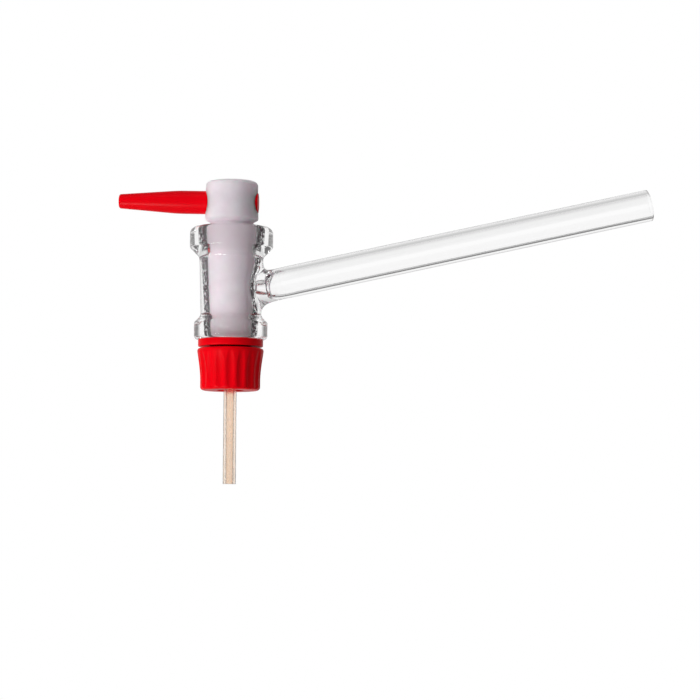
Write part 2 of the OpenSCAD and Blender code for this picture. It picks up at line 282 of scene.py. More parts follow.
def groundSeat():
    # The ground seat in the same glass. Seen straight on it is clear; seen aslant it shows a dark speckled band
    # along each side of the key. The band's darkness is painted shade: a dark tint in the grinding's speckles
    # stands in for the dim key behind it. The speckles are drawn coarser than the grinding grit, so that they show
    look = glassLook
    material, tree = newMaterial("groundGlassSeat")
    place = addNode(tree, "ShaderNodeTexCoord")
    squash = addNode(tree, "ShaderNodeMapping", {"Scale": (1, 1, 0.8)}, {"Vector": (place, "Object")})
    grain = addNode(tree, "ShaderNodeTexNoise", {
        "Scale": 1 / (look["patch"] * mm), "Detail": 3.0, "Roughness": 0.65}, {"Vector": (squash, 0)})
    grain = addNode(tree, "ShaderNodeMapRange", {
        "From Min": look["clearBelow"], "From Max": look["clearBelow"] + 0.1}, {"Value": (grain, 0)})
    tilt = addNode(tree, "ShaderNodeLayerWeight", {"Blend": 0.5})
    aslant = addNode(tree, "ShaderNodeMapRange", {
        "From Min": look["aslant"][0], "From Max": look["aslant"][1]}, {"Value": (tilt, "Facing")})
    # the band ends sooner in the thin wall than in the flanges
    fromMiddle = heightFrom(tree, wallMiddleZ)
    limit = addNode(tree, "ShaderNodeMapRange", {
        "From Min": (wallHalf - look["limitBlend"][0]) * mm, "From Max": (wallHalf - look["limitBlend"][1]) * mm,
        "To Min": look["wallLimit"], "To Max": look["flangeLimit"]}, {"Value": (fromMiddle, 0)})
    under = addNode(tree, "ShaderNodeMath", {}, {0: (limit, 0), 1: (tilt, "Facing")}, operation="SUBTRACT")
    grazing = addNode(tree, "ShaderNodeMapRange", {
        "From Min": -look["limitSoft"], "From Max": look["limitSoft"]}, {"Value": (under, 0)})
    # no dark band shows through the slope under the upper flange
    slopeHalf = (highShoulderZ - highWallZ) / 2
    fromSlope = heightFrom(tree, (highWallZ + highShoulderZ) / 2 + look["slopeUp"])
    offSlope = addNode(tree, "ShaderNodeMapRange", {
        "From Min": slopeHalf * mm, "From Max": (slopeHalf + look["slopeBlend"]) * mm},
        {"Value": (fromSlope, 0)})
    speckledShade = grain
    for mask in (aslant, grazing, offSlope):
        speckledShade = addNode(tree, "ShaderNodeMath", {}, {0: (speckledShade, 0), 1: (mask, 0)}, operation="MULTIPLY")
    film = addNode(tree, "ShaderNodeBsdfPrincipled", {
        "Base Color": linear(look["color"]), "Roughness": 0.0, "IOR": look["ior"], "Transmission Weight": 1.0})
    # painted shade: this dark grey tint stands in for the dimly lit key seen through the grinding
    contactShade = addNode(tree, "ShaderNodeBsdfPrincipled", {
        "Base Color": linear(look["seatShadeColor"]), "Roughness": look["groundRough"],
        "IOR": look["contactIor"], "Transmission Weight": 1.0})
    both = addNode(tree, "ShaderNodeMixShader", {}, {0: (speckledShade, 0), 1: (film, 0), 2: (contactShade, 0)})
    lightPath(tree, both)
    return material


def turnedPtfe():
    # Turned PTFE: milky, soft and waxy, with fine turning marks round the axis, drawn 0.35 mm apart,
    # coarser than the tool left them, so that they show
    material, tree = newMaterial("turnedPtfe")
    place = addNode(tree, "ShaderNodeTexCoord")
    rings = addNode(tree, "ShaderNodeTexWave", {
        "Scale": 1 / (0.35 * mm) / 3.14, "Distortion": 0.4, "Detail": 1.0}, {"Vector": (place, "Object")},
        wave_type="BANDS", bands_direction="Z")  # this texture has 3.14 bands to a unit
    cloud = addNode(tree, "ShaderNodeTexNoise", {"Scale": 1 / (4 * mm), "Detail": 2.0},
        {"Vector": (place, "Object")})
    tone = addNode(tree, "ShaderNodeValToRGB", {}, {"Fac": (cloud, 0)})
    setRamp(tone, [(0.3, linear("#E8DFE6")), (0.7, linear("#F0E8EE"))])
    bump = addNode(tree, "ShaderNodeBump", {"Strength": 0.12, "Distance": 0.01 * mm}, {"Height": (rings, 0)})
    rough = addNode(tree, "ShaderNodeMapRange", {"To Min": 0.38, "To Max": 0.5}, {"Value": (cloud, 0)})
    body = addNode(tree, "ShaderNodeBsdfPrincipled", {
        "IOR": 1.35, "Subsurface Weight": 1.0, "Subsurface Radius": (1.0, 0.75, 0.85),
        "Subsurface Scale": 5.5 * mm},
        {"Base Color": (tone, 0), "Roughness": (rough, 0), "Normal": (bump, 0)})
    addNode(tree, "ShaderNodeOutputMaterial", {}, {"Surface": (body, 0)})
    return material


def mouldedPlastic():
    # Injection moulded red polypropylene: satin gloss over a faint moulded skin
    material, tree = newMaterial("mouldedRedPolypropylene")
    place = addNode(tree, "ShaderNodeTexCoord")
    skin = addNode(tree, "ShaderNodeTexNoise", {"Scale": 1 / (0.9 * mm), "Detail": 3.0},
        {"Vector": (place, "Object")})
    cloud = addNode(tree, "ShaderNodeTexNoise", {"Scale": 1 / (7 * mm), "Detail": 1.0},
        {"Vector": (place, "Object")})
    tone = addNode(tree, "ShaderNodeValToRGB", {}, {"Fac": (cloud, 0)})
    setRamp(tone, [(0.3, linear("#F00010")), (0.7, linear("#F80014"))])
    rough = addNode(tree, "ShaderNodeMapRange", {"To Min": 0.24, "To Max": 0.36}, {"Value": (skin, 0)})
    bump = addNode(tree, "ShaderNodeBump", {"Strength": 0.1, "Distance": 0.02 * mm}, {"Height": (skin, 0)})
    body = addNode(tree, "ShaderNodeBsdfPrincipled", {
        "IOR": 1.49, "Specular IOR Level": 0.08, "Subsurface Weight": 0.05,
        "Subsurface Radius": (1.0, 0.1, 0.05), "Subsurface Scale": 0.4 * mm},
        {"Base Color": (tone, 0), "Roughness": (rough, 0), "Normal": (bump, 0)})
    addNode(tree, "ShaderNodeOutputMaterial", {}, {"Surface": (body, 0)})
    return material


def mouldedRubber():
    # Moulded nitrile rubber: black, dull, with a dusty grain, drawn at 0.3 mm so that it shows
    material, tree = newMaterial("mouldedNitrileRubber")
    place = addNode(tree, "ShaderNodeTexCoord")
    grain = addNode(tree, "ShaderNodeTexNoise", {"Scale": 1 / (0.3 * mm), "Detail": 2.0},
        {"Vector": (place, "Object")})
    tone = addNode(tree, "ShaderNodeValToRGB", {}, {"Fac": (grain, 0)})
    setRamp(tone, [(0.3, linear("#1A1213")), (0.7, linear("#2A1E1F"))])
    bump = addNode(tree, "ShaderNodeBump", {"Strength": 0.2, "Distance": 0.02 * mm}, {"Height": (grain, 0)})
    body = addNode(tree, "ShaderNodeBsdfPrincipled", {"IOR": 1.52, "Roughness": 0.6},
        {"Base Color": (tone, 0), "Normal": (bump, 0)})
    addNode(tree, "ShaderNodeOutputMaterial", {}, {"Surface": (body, 0)})
    return material


def extrudedTube():
    # Extruded PTFE tube: warm ivory and translucent, brighter where light comes through its wall, with
    # long streaks half a millimetre wide from the die
    material, tree = newMaterial("extrudedPtfeTube")
    place = addNode(tree, "ShaderNodeTexCoord")
    stretch = addNode(tree, "ShaderNodeMapping", {"Scale": (1, 1, 0.08)}, {"Vector": (place, "Object")})
    streaks = addNode(tree, "ShaderNodeTexNoise", {"Scale": 1 / (0.5 * mm), "Detail": 2.0},
        {"Vector": (stretch, 0)})
    tone = addNode(tree, "ShaderNodeValToRGB", {}, {"Fac": (streaks, 0)})
    setRamp(tone, [(0.3, linear("#FFEBDA")), (0.7, linear("#FFF2E6"))])
    bump = addNode(tree, "ShaderNodeBump", {"Strength": 0.1, "Distance": 0.02 * mm}, {"Height": (streaks, 0)})
    body = addNode(tree, "ShaderNodeBsdfPrincipled", {
        "IOR": 1.35, "Roughness": 0.22, "Transmission Weight": 0.95, "Subsurface Weight": 1.0,
        "Subsurface Radius": (1.0, 0.85, 0.65), "Subsurface Scale": 3.0 * mm},
        {"Base Color": (tone, 0), "Normal": (bump, 0)})
    addNode(tree, "ShaderNodeOutputMaterial", {}, {"Surface": (body, 0)})
    return material


keyPtfe, redPlastic, blackRubber, ivoryTube = turnedPtfe(), mouldedPlastic(), mouldedRubber(), extrudedTube()
print("materials made")

# Glass barrel with its fused arm

barrelSize = {  # in mm, the turn in degrees
    "height": 33.35, "lowWall": 17.8, "highWall": 18.8, "shoulder": 0.35, "fillet": 0.9,
    "lowFlange": 21.6, "lowSide": 3.8, "lowRound": 1.0, "lowLift": 1.2,
    "highFlange": 24.49, "highSide": 4.1, "highRound": 2.0, "highTurn": 65, "mouthRise": 0.3,
    "boreMouth": 15.0, "taper": 10, "boreEdge": 0.15, "mouthLand": 2.2, "mouthRound": 0.35,
    "portUp": 15.5, "port": 3.2, "funnelOut": 1, "funnelShort": 3,
    "weldHalf": 7.4, "weldWrap": 56, "weldReach": 22, "weldFoot": 3.2, "weldOut": 0.2,
    "arm": 9.4, "armWall": 1.3, "armLength": 127.49, "rimShare": 0.3,
    "around": 192, "windowColumns": 64, "windowRows": 32, "windowBelow": 0.35, "windowAbove": 0.25,
    "weldRings": 28, "funnelRings": 16, "portRings": 6, "boreRings": 24, "boreEase": 1.3,
    "armStops": (40, 60, 80, 100, 115, 124), "lumenStops": (115, 95, 75, 55, 40, 30, 24)}

mouthZ = barrelZ + barrelSize["height"]
portZ = barrelZ + barrelSize["portUp"]
lowShoulderZ = barrelZ + barrelSize["lowLift"] + barrelSize["lowSide"]
lowWallZ = lowShoulderZ + (barrelSize["lowFlange"] - barrelSize["lowWall"]) / 2
highRoundUp = barrelSize["highRound"] * math.sin(math.radians(barrelSize["highTurn"]))
highSideZ = mouthZ - barrelSize["mouthRise"] - highRoundUp
highShoulderZ = highSideZ - barrelSize["highSide"]
highWallZ = highShoulderZ - (barrelSize["highFlange"] - barrelSize["highWall"]) / 2
wallMiddleZ, wallHalf = (lowShoulderZ + highShoulderZ) / 2, (highShoulderZ - lowShoulderZ) / 2


def boreR(z):
    return barrelSize["boreMouth"] / 2 - (mouthZ - z) / (2 * barrelSize["taper"])


def wallR(z):
    t = (z - lowWallZ) / (highWallZ - lowWallZ)
    return (barrelSize["lowWall"] * (1 - t) + barrelSize["highWall"] * t) / 2


def onCircle(r, turn, z):
    return r * math.cos(turn), r * math.sin(turn), z


def outsideProfile(window):
    # from the bore's lower edge over both flanges to the mouth, and where the window starts in it
    s = barrelSize
    lowR, highR = s["lowFlange"] / 2, s["highFlange"] / 2
    lowCorner, highCorner = (s["lowWall"] / 2, lowWallZ), (s["highWall"] / 2, highWallZ)
    lowSideZ = barrelZ + s["lowLift"]
    points = [(boreR(barrelZ) + s["boreEdge"], barrelZ), (lowR - s["lowRound"], barrelZ)]
    points += arcPoints(lowR - s["lowRound"], lowSideZ, s["lowRound"], -90, 0, 8, s["lowLift"])[1:-1]
    points += softCorner((lowR, lowSideZ), (lowR, lowShoulderZ), lowCorner, s["shoulder"])
    points += softCorner((lowR, lowShoulderZ), lowCorner, highCorner, s["fillet"])
    windowStart = len(points)
    points += window
    points += softCorner(window[-1], highCorner, (highR, highShoulderZ), s["fillet"])
    points += softCorner(highCorner, (highR, highShoulderZ), (highR, highSideZ), s["shoulder"])
    points += arcPoints(highR - s["highRound"], highSideZ, s["highRound"], 0, s["highTurn"], 12)
    knee = (s["boreMouth"] / 2 + s["mouthLand"], mouthZ)
    points += bowedLine(points[-1], knee, (s["boreMouth"] / 2 + s["mouthRound"], mouthZ), 8)[1:]
    return points, windowStart


def insideProfile(window):
    # down the ground bore, and where the window starts in it
    s = barrelSize
    topZ, footZ = mouthZ - s["mouthRound"], barrelZ + s["boreEdge"]
    points = spacedLine((boreR(topZ), topZ), (boreR(window[-1][1]), window[-1][1]), 16)[:-1]
    windowStart = len(points)
    points += [(boreR(z), z) for _, z in reversed(window)]
    points += spacedLine(points[-1], (boreR(footZ), footZ), 14)[1:]
    return points, windowStart


def barrelMesh():
    # The turned barrel is a grid of rings and columns with a window left open on the arm's side. From
    # its border, rings run over the weld, out along the arm, back through its lumen and on to the bore.
    # They are set ring by ring, because a bridge of edge loops leaves ripples that clear glass shows
    s = barrelSize
    around, cols, rows, half = s["around"], s["windowColumns"], s["windowRows"], s["windowColumns"] // 2
    windowLow, windowHigh = portZ - s["weldHalf"] - s["windowBelow"], portZ + s["weldHalf"] + s["windowAbove"]
    window = [(wallR(z), z) for z in (windowLow + (windowHigh - windowLow) * i / rows for i in range(rows + 1))]
    outer, outerStart = outsideProfile(window)
    inner, innerStart = insideProfile(window)
    innerStart += len(outer)
    profile = outer + inner
    points, faces, seatFaces = [], [], []

    def addPoint(p):
        points.append(tuple(c * mm for c in p))
        return len(points) - 1

    grid = []
    for row, (r, z) in enumerate(profile):
        windowRow = any(start < row < start + rows for start in (outerStart, innerStart))
        grid.append([None if windowRow and 0 < (column + half) % around < cols
                     else addPoint(onCircle(r, math.tau * column / around, z)) for column in range(around)])
    for row in range(len(profile)):
        below = (row + 1) % len(profile)
        windowRow = any(start <= row < start + rows for start in (outerStart, innerStart))
        for column in range(around):
            if windowRow and (column + half) % around < cols:
                continue
            beside = (column + 1) % around
            faces.append([grid[row][column], grid[row][beside], grid[below][beside], grid[below][column]])
            if row >= len(outer) - 1:
                seatFaces.append(len(faces) - 1)

    def windowBorder(topRow, step):
        # from the middle of the window's top, round towards +Y
        border = [(topRow, c) for c in range(half)]
        border += [(topRow + step * i, half) for i in range(rows)]
        border += [(topRow + step * rows, half - c) for c in range(cols)]
        border += [(topRow + step * (rows - i), -half) for i in range(rows)]
        return border + [(topRow, -half + c) for c in range(half)]

    def place(cell):
        row, column = cell
        return math.tau * column / around, profile[row][1]

    outerBorder = windowBorder(outerStart + rows, -1)
    innerBorder = windowBorder(innerStart, 1)
    middleZ, halfZ, halfTurn = (windowLow + windowHigh) / 2, (windowHigh - windowLow) / 2, math.tau * half / around
    angles = [math.atan2(turn / halfTurn, (z - middleZ) / halfZ) for turn, z in map(place, outerBorder)]
    rings = [[grid[row][column % around] for row, column in outerBorder]]

    def addRing(makePoint):
        rings.append([addPoint(makePoint(i, a)) for i, a in enumerate(angles)])

    def between(i, end, share, radius):
        # on the barrel's wall or bore, on the way from the window's border to the end
        (t0, z0), (t1, z1) = place(outerBorder[i]), end
        turn, z = t0 + (t1 - t0) * share, z0 + (z1 - z0) * share
        return onCircle(radius(z), turn, z)

    def weldFoot(a):
        return math.radians(s["weldWrap"]) * math.sin(a), portZ + s["weldHalf"] * math.cos(a)

    for share in (0.25, 0.5, 0.75, 1.0):
        addRing(lambda i, a: between(i, weldFoot(a), share, wallR))

    upright = Vector((-armAxis.z, 0, armAxis.x))

    def armPoint(a, r, reach):
        return armStart / mm + armAxis * reach + r * (math.cos(a) * upright + math.sin(a) * Vector((0, 1, 0)))

    def weldPoint(a, t):
        # from the foot on the wall, up the fillet and into the arm's straight outside
        turn, z = weldFoot(a)
        foot, end = Vector(onCircle(wallR(z), turn, z)), armPoint(a, s["arm"] / 2, s["weldReach"])
        inward = Vector((math.sin(a) * math.sin(turn), -math.sin(a) * math.cos(turn), -math.cos(a)))
        outward = Vector(onCircle(s["weldOut"], turn, 0))
        p = [foot, foot + s["weldFoot"] * (inward + outward), end - armAxis * s["weldReach"] / 2, end]
        return (1 - t) ** 3 * p[0] + 3 * (1 - t) ** 2 * t * p[1] + 3 * (1 - t) * t * t * p[2] + t ** 3 * p[3]

    for i in range(s["weldRings"]):
        addRing(lambda _, a: weldPoint(a, (i + 1) / s["weldRings"]))

    armR, lumenR, portR = s["arm"] / 2, s["arm"] / 2 - s["armWall"], s["port"] / 2
    melt = s["armWall"] * s["rimShare"]
    rimReach = s["armLength"] - melt
    funnelFrom, funnelTo = s["lowWall"] / 2 + s["funnelOut"], s["weldReach"] - s["funnelShort"]
    armRings = [(armR, reach) for reach in (*s["armStops"], rimReach)]
    armRings += arcPoints(armR - melt, rimReach, melt, 0, 90, 6)[1:]
    armRings += arcPoints(lumenR + melt, rimReach, melt, 90, 180, 6)
    armRings += [(lumenR, reach) for reach in s["lumenStops"]]
    for i in range(s["funnelRings"] + 1):  # the funnel, from the lumen down to the port
        t = math.radians(90 * (1 - i / s["funnelRings"]))
        armRings.append((portR + (lumenR - portR) * math.sin(t), funnelTo - (funnelTo - funnelFrom) * math.cos(t)))
    for r, reach in armRings:
        addRing(lambda _, a: armPoint(a, r, reach))

    def portEdge(a):
        z = portZ + portR * math.cos(a)
        return math.asin(portR * math.sin(a) / boreR(z)), z

    def portPoint(a, share):
        turn, z = portEdge(a)
        return armPoint(a, portR, funnelFrom).lerp(Vector(onCircle(boreR(z), turn, z)), share)

    for i in range(s["portRings"]):
        addRing(lambda _, a: portPoint(a, (i + 1) / s["portRings"]))
    boreFrom = len(rings) - 1
    for i in range(1, s["boreRings"]):
        addRing(lambda k, a: between(k, portEdge(a), 1 - (i / s["boreRings"]) ** s["boreEase"], boreR))
    rings.append([grid[row][column % around] for row, column in innerBorder])

    for number, (first, second) in enumerate(zip(rings, rings[1:])):
        for i in range(len(first)):
            k = (i + 1) % len(first)
            faces.append([first[i], first[k], second[k], second[i]])
            if number >= boreFrom:
                seatFaces.append(len(faces) - 1)
    mesh = bpy.data.meshes.new("glassBarrel")
    mesh.from_pydata(points, [], faces)
    mesh.materials.append(flameWorkedGlass())
    mesh.materials.append(groundSeat())
    for index in seatFaces:
        mesh.polygons[index].material_index = 1
    return mesh


def glassBarrel():
    obj = bpy.data.objects.new("glassBarrel", barrelMesh())
    bpy.context.collection.objects.link(obj)
    pickOnly(obj)
    bpy.ops.object.mode_set(mode="EDIT")
    bpy.ops.mesh.select_all(action="SELECT")
    bpy.ops.mesh.normals_make_consistent(inside=False)
    finishPiece(obj, "barrel", ["glass_barrel"], 40)


glassBarrel()

# Key

keySize = {
    "gap": 0.05, "recess": 1.1, "footBevel": 0.4, "footRound": 0.12, "shortOfMouth": 0.6, "topBevel": 0.25,
    "neckFrom": 0.35, "neck": 12.8, "neckUp": 1.25, "neckRound": 0.2, "head": 15.4, "headRound": 1.3,
    "lip": 1.4, "lipOut": 0.15, "lipRound": 0.2, "chamfer": 0.9, "stud": 9.5, "threadDeep": 0.5,
    "rootHole": 3.42, "rootDeep": 8, "passage": 2.2, "pinGap": 0.03, "turned": -6, "around": 160}
handleSize = {  # the key's cross hole follows it
    "up": 5.9, "length": 33.499, "plain": 16, "grip": 6.85, "free": 4.2, "pin": 5.9, "rise": 1, "proud": 0.15,
    "round": 0.6, "bendRound": 2.0, "pinRound": 0.15, "around": 96}

headZ = mouthZ + keySize["neckUp"]
gripZ = headZ + handleSize["up"]
keyFootZ = barrelZ + keySize["recess"]
turned, rise = math.radians(keySize["turned"]), math.radians(handleSize["rise"])
gripWay = Vector((-math.cos(turned) * math.cos(rise), -math.sin(turned) * math.cos(rise), math.sin(rise)))


def keyR(z):
    return boreR(z) - keySize["gap"]


def pinR(x):
    # the handle's pin widens evenly through the head, x mm along it from the key's axis
    grow = (handleSize["grip"] - handleSize["pin"]) / keySize["head"] / 2
    return handleSize["pin"] / 2 + grow * (x + keySize["head"] / 2)


def turnedKey():
    s = keySize
    topZ, bevelZ = mouthZ - s["shortOfMouth"], keyFootZ - s["footBevel"]
    headR, lipR, neckR = s["head"] / 2, s["head"] / 2 + s["lipOut"], s["neck"] / 2
    studR, holeR, passageR = s["stud"] / 2 - s["threadDeep"], s["rootHole"] / 2, s["passage"] / 2
    chamferZ = headZ + s["chamfer"]
    profile = [(0, studZ + s["rootDeep"]), (holeR, studZ + s["rootDeep"]), (holeR, studZ), (studR, studZ),
               (studR, bevelZ), (keyR(keyFootZ) - s["footBevel"], bevelZ)]
    profile += spacedLine((keyR(keyFootZ), keyFootZ), (keyR(topZ), topZ), 24)
    profile += [(keyR(topZ) - s["topBevel"], topZ + s["topBevel"]), (neckR, topZ + s["neckFrom"]), (neckR, headZ),
                (lipR, chamferZ), (lipR, chamferZ + s["lip"]), (headR, chamferZ + s["lip"] * 2),
                (headR, headTopZ), (0, headTopZ)]
    obj = latheBody("turnedKey", profile, s["around"])
    roundRing(obj, headR, headTopZ, s["headRound"], 8)
    roundRing(obj, lipR, chamferZ, s["lipRound"], 4)
    roundRing(obj, neckR, headZ, s["neckRound"], 3)
    roundRing(obj, keyR(keyFootZ), keyFootZ, s["footRound"], 2)
    far = headR + 1  # well past the head on both sides
    centre = Vector((0, 0, gripZ))
    cutAway(obj, coneAlong(centre - gripWay * far, centre + gripWay * far,
                           pinR(-far) + s["pinGap"], pinR(far) + s["pinGap"]))
    bend = Vector((0, 0, portZ))
    out = Vector((math.cos(turned), math.sin(turned), 0))
    cutAway(obj, coneAlong((0, 0, studZ + 1), bend, passageR, passageR))
    cutAway(obj, coneAlong(bend - out * 0.5, bend + out * 10, passageR, passageR))
    finishPiece(obj, "key_and_tip", ["key"], 30, keyPtfe)


turnedKey()

# Handle

def taperedHandle():
    s = handleSize
    reach = keySize["head"] / 2
    flat = -reach - s["proud"]
    gripR, freeR = s["grip"] / 2, s["free"] / 2
    profile = [(0, flat), (pinR(flat), flat), (gripR, reach), (gripR, s["plain"]),
               (freeR, s["length"]), (0, s["length"])]
    obj = latheBody("taperedHandle", profile, s["around"])
    roundRing(obj, pinR(flat), flat, s["pinRound"], 3)
    roundRing(obj, gripR, s["plain"], s["bendRound"], 5)
    roundRing(obj, freeR, s["length"], s["round"], 6)
    bpy.ops.object.mode_set(mode="OBJECT")
    obj.rotation_euler = (0, math.radians(s["rise"] - 90), turned)
    obj.location = (0, 0, gripZ * mm)
    finishPiece(obj, "key_and_tip", ["handle"], 30, redPlastic)


taperedHandle()

# Slip washer and sealing ring

sealSize = {"washer": 19.1, "washerHole": 9.6, "washerRound": 0.25, "holeRound": 0.15, "ring": 2.0,
            "ringShare": 0.99, "seam": 1.001, "around": 144}


def slipWasher():
    s = sealSize
    r, hole = s["washer"] / 2, s["washerHole"] / 2
    profile = [(hole, washerZ), (r, washerZ), (r, barrelZ), (hole, barrelZ), (hole, washerZ)]
    obj = latheBody("slipWasher", profile, s["around"])
    for z in (washerZ, barrelZ):
        roundRing(obj, r, z, s["washerRound"], 4)
    for z in (washerZ, barrelZ):
        roundRing(obj, hole, z, s["holeRound"], 2)
    finishPiece(obj, "seals", ["slip_washer"], 40, redPlastic)


def sealingRing():
    s = sealSize
    middle, middleZ = ringOutR - s["ring"] / 2, washerZ - s["ring"] / 2
    ringR = s["ring"] / 2 * s["ringShare"]  # a hair less, so that it stays clear of the washer
    deselectAll()
    bpy.ops.mesh.primitive_torus_add(major_segments=96, minor_segments=24, major_radius=middle * mm,
        minor_radius=ringR * mm, location=(0, 0, middleZ * mm))
    obj = startPiece("sealingRing")
    bpy.ops.object.transform_apply(location=True, rotation=True, scale=True)
    bpy.ops.object.mode_set(mode="EDIT")
    # the moulding seam round the outside
    pickRing(obj, middle + ringR, middleZ)
    bpy.ops.transform.resize(value=(s["seam"], s["seam"], 1), center_override=(0, 0, middleZ * mm))
    finishPiece(obj, "seals", ["o_ring"], 60, blackRubber)


slipWasher()
sealingRing()

# Screw cap

capSize = {
    "foot": 17.6, "flareFrom": 3.0, "bend": 2.6, "topRound": 0.9, "footRound": 1.0, "floor": 2.5,
    "recess": 8.0, "recessDeep": 0.5, "recessRound": 0.15, "hole": 4.4, "holeRound": 0.1, "studHole": 9.66,
    "seatGap": 0.05, "seatRound": 0.2, "flutes": 18, "fluteDepth": 0.38, "fluteR": 2.4, "fluteTop": 0.8,
    "perFlute": 12}
footR, flareZ = capSize["foot"] / 2, capZ + capSize["flareFrom"]


def drawFlutes(obj):
    # at each level, the columns near a flute's middle are drawn in towards the axis
    s = capSize
    deep = footR - s["fluteDepth"]
    height, out = capTopZ - s["fluteTop"] - flareZ, capTopR - deep
    bow = (height * height + out * out) / (2 * out)  # the flute's floor leaves the flare in this arc
    pitch = math.tau / s["flutes"]
    bpy.ops.mesh.select_mode(type="VERT")
    mesh = bmesh.from_edit_mesh(obj.data)
    levels = {}
    for v in mesh.verts:
        r, z = math.hypot(v.co.x, v.co.y) / mm, v.co.z / mm
        if r > footR - s["footRound"] - 0.01 and z < capTopZ - s["fluteTop"] + 0.3:  # the outside, foot to top
            levels.setdefault((round(z, 3), round(r, 3)), []).append(v)
    for (z, r), ring in levels.items():
        grooveR = deep + bow - math.sqrt(max(bow * bow - (z - flareZ) ** 2, 0))
        for k in range(s["perFlute"] // 2):
            turn = k * pitch / s["perFlute"]
            # a round groove: its floor rises away from its middle
            target = (grooveR + (r * math.sin(turn)) ** 2 / (2 * s["fluteR"])) / math.cos(turn)
            if target > r - 0.003:  # the flute has run out here
                continue
            bpy.ops.mesh.select_all(action="DESELECT")
            for v in ring:
                away = (math.atan2(v.co.y, v.co.x) - pitch / 2) % pitch
                if abs(min(away, pitch - away) - turn) < pitch / s["perFlute"] / 4:
                    v.select = True
            mesh.select_flush_mode()
            bmesh.update_edit_mesh(obj.data)
            bpy.ops.transform.resize(value=(target / r, target / r, 1), center_override=(0, 0, z * mm))
            mesh = bmesh.from_edit_mesh(obj.data)


def screwCap():
    s = capSize
    seatZ, seatR = washerZ - sealSize["ring"], ringOutR + s["seatGap"]
    holeR, recessR, studHoleR = s["hole"] / 2, s["recess"] / 2, s["studHole"] / 2
    recessZ, edgeZ, roundedZ = capZ + s["recessDeep"], capTopZ - s["topRound"], capZ + s["footRound"]
    profile = [(holeR, recessZ), (recessR, recessZ), (recessR, capZ), (footR - s["footRound"], capZ)]
    profile += arcPoints(footR - s["footRound"], roundedZ, s["footRound"], -90, 0, 8)[1:]
    profile += spacedLine((footR, roundedZ), (footR, flareZ), 4)[1:]
    profile += bowedLine((footR, flareZ), (footR, flareZ + s["bend"]), (capTopR, edgeZ), 20)[1:]
    profile += bowedLine((capTopR, edgeZ), (capTopR, capTopZ), (capTopR - s["topRound"], capTopZ), 6)[1:]
    profile += [(seatR, capTopZ), (seatR, seatZ), (studHoleR, seatZ), (studHoleR, capZ + s["floor"]),
                (holeR, capZ + s["floor"]), (holeR, recessZ)]
    obj = latheBody("screwCap", profile, s["flutes"] * s["perFlute"])
    roundRing(obj, recessR, capZ, s["recessRound"], 3)
    roundRing(obj, seatR, capTopZ, s["seatRound"], 3)
    roundRing(obj, holeR, recessZ, s["holeRound"], 2)
    drawFlutes(obj)
    finishPiece(obj, "cap", ["screw_cap"], 40, redPlastic)


screwCap()

# Dispensing tip

tipSize = {"tip": 3.8, "root": 3.4, "bore": 2.0, "rootFrom": 0.05, "endRound": 0.1, "boreRound": 0.08,
           "around": 96}


def dispensingTip():
    s = tipSize
    topZ, rootZ = high("dispensing_tip"), capZ - s["rootFrom"]
    r, root, bore = s["tip"] / 2, s["root"] / 2, s["bore"] / 2
    profile = [(bore, 0), (r, 0), (r, rootZ), (root, rootZ), (root, topZ), (bore, topZ), (bore, 0)]
    obj = latheBody("dispensingTip", profile, s["around"])
    roundRing(obj, r, 0, s["endRound"], 3)
    roundRing(obj, bore, 0, s["boreRound"], 2)
    finishPiece(obj, "key_and_tip", ["dispensing_tip"], 40, ivoryTube)


dispensingTip()

# Thread on the key's stud

threadSize = {"pitch": 1.5, "rootFlat": 0.3, "crestFrom": 0.75, "crestTo": 1.05, "sink": 0.02, "from": 0.2,
              "short": 0.6, "core": 0.85}


def studThread():
    # one pitch of the thread's section, run up the stud by the screw operator and closed inside
    s = threadSize
    rootR, crestR = keySize["stud"] / 2 - keySize["threadDeep"] + s["sink"], keySize["stud"] / 2 - s["sink"]
    startZ, endZ = studZ + s["from"], keyFootZ - keySize["footBevel"] - s["short"]
    turns = math.ceil((endZ - startZ) / s["pitch"]) + 2
    deselectAll()
    bpy.ops.mesh.primitive_plane_add(size=mm)
    obj = startPiece("studThread")
    drawSection([(rootR, 0), (rootR, s["rootFlat"]), (crestR, s["crestFrom"]), (crestR, s["crestTo"]),
                 (rootR, s["pitch"])], startZ + (turns - 1) * s["pitch"])
    bpy.ops.mesh.screw(steps=64, turns=turns, center=(0, 0, 0), axis=(0, 0, 1))
    closeSeams()
    for level, side in ((startZ, 1), (endZ, -1)):
        bpy.ops.mesh.select_all(action="SELECT")
        bpy.ops.mesh.bisect(plane_co=(0, 0, level * mm), plane_no=(0, 0, side), clear_inner=True)
    bpy.ops.mesh.select_all(action="DESELECT")
    bpy.ops.mesh.select_mode(type="EDGE")
    bpy.ops.mesh.select_non_manifold()
    bpy.ops.mesh.extrude_edges_move()
    bpy.ops.transform.resize(value=(s["core"], s["core"], 1), center_override=(0, 0, 0))
    bpy.ops.mesh.bridge_edge_loops()
    closeSeams()
    finishPiece(obj, "key_and_tip", (), 25, keyPtfe)


studThread()

# Camera, floor and light

# lengths in mm, angles in degrees
cameraSet = {"away": 694, "aside": -0.1, "height": -16.25, "turn": 3.0, "pitch": 4.6, "roll": 0.33, "lens": 121.7}


